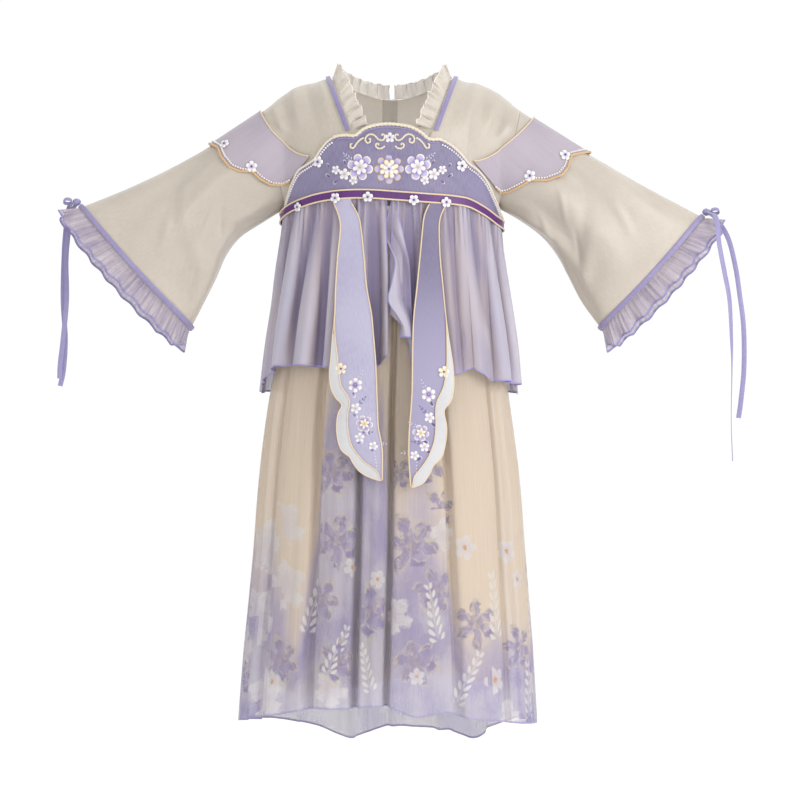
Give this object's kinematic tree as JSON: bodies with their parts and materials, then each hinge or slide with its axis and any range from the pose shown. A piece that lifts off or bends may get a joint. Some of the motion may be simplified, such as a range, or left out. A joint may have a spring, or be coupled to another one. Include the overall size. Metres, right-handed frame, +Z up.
{
  "type": "hanfu robe",
  "caption": "Filled-out child's hanfu dress, hollow and held at the shoulders: bell sleeves with ruffled cuffs, lobed chest panel, belt, peplum, streamers and gathered skirt.",
  "frame": {"origin": "on the centre plane at shoulder height, midway between front and back, in the neck opening", "axes": "+Z up, -Y out of the garment's front, +X towards the right of the front view"},
  "size_m": [0.9421, 0.2839, 0.9268],
  "materials": {
    "cream": "matte satin weave",
    "sheer_cream": "sheer organza, matte",
    "band": "satin band, matte",
    "cap": "sheer organza, matte",
    "chest": "dense embroidered satin",
    "belt": "dark satin",
    "peplum": "sheer organza, gathered",
    "streamer": "printed satin",
    "border": "stitched edging",
    "skirt": "sheer chiffon",
    "lining": "plain lining cloth",
    "ruffle": "sheer organza, gathered",
    "ribbon": "satin ribbon",
    "pearl": "gloss pearl"
  },
  "bodies": {
    "root": {"belt_flower_1": "pearl", "belt_flower_2": "pearl", "belt_flower_3": "pearl", "belt_flower_4": "pearl", "belt_flower_5": "pearl", "blouse_back": "cream", "blouse_front_left": "cream", "blouse_front_right": "cream", "cap_flower_1": "pearl", "cap_flower_2": "pearl", "cap_flower_3": "pearl", "cap_flower_4": "pearl", "chest_back": "chest", "chest_flower_1": "pearl", "chest_flower_2": "pearl", "chest_panel": "chest", "collar_ruffle_left": "sheer_cream", "collar_ruffle_right": "sheer_cream", "cuff_band_left": "band", "cuff_band_right": "band", "cuff_ruffle_left": "ruffle", "cuff_ruffle_right": "ruffle", "lining": "lining", "neck_band_left": "band", "neck_band_right": "band", "peplum_back": "peplum", "peplum_front_left": "peplum", "peplum_front_right": "peplum", "shoulder_cap_left": "cap", "shoulder_cap_right": "cap", "skirt": "skirt", "sleeve_left": "cream", "sleeve_right": "cream", "streamer_border_left": "border", "streamer_border_right": "border", "streamer_left": "streamer", "streamer_right": "streamer", "tie_knot_left": "ribbon", "tie_knot_right": "ribbon", "tie_loop_left": "ribbon", "tie_loop_right": "ribbon", "tie_tail_left_a": "ribbon", "tie_tail_left_b": "ribbon", "tie_tail_right_a": "ribbon", "tie_tail_right_b": "ribbon", "waist_belt": "belt"}
  },
  "joints": []
}
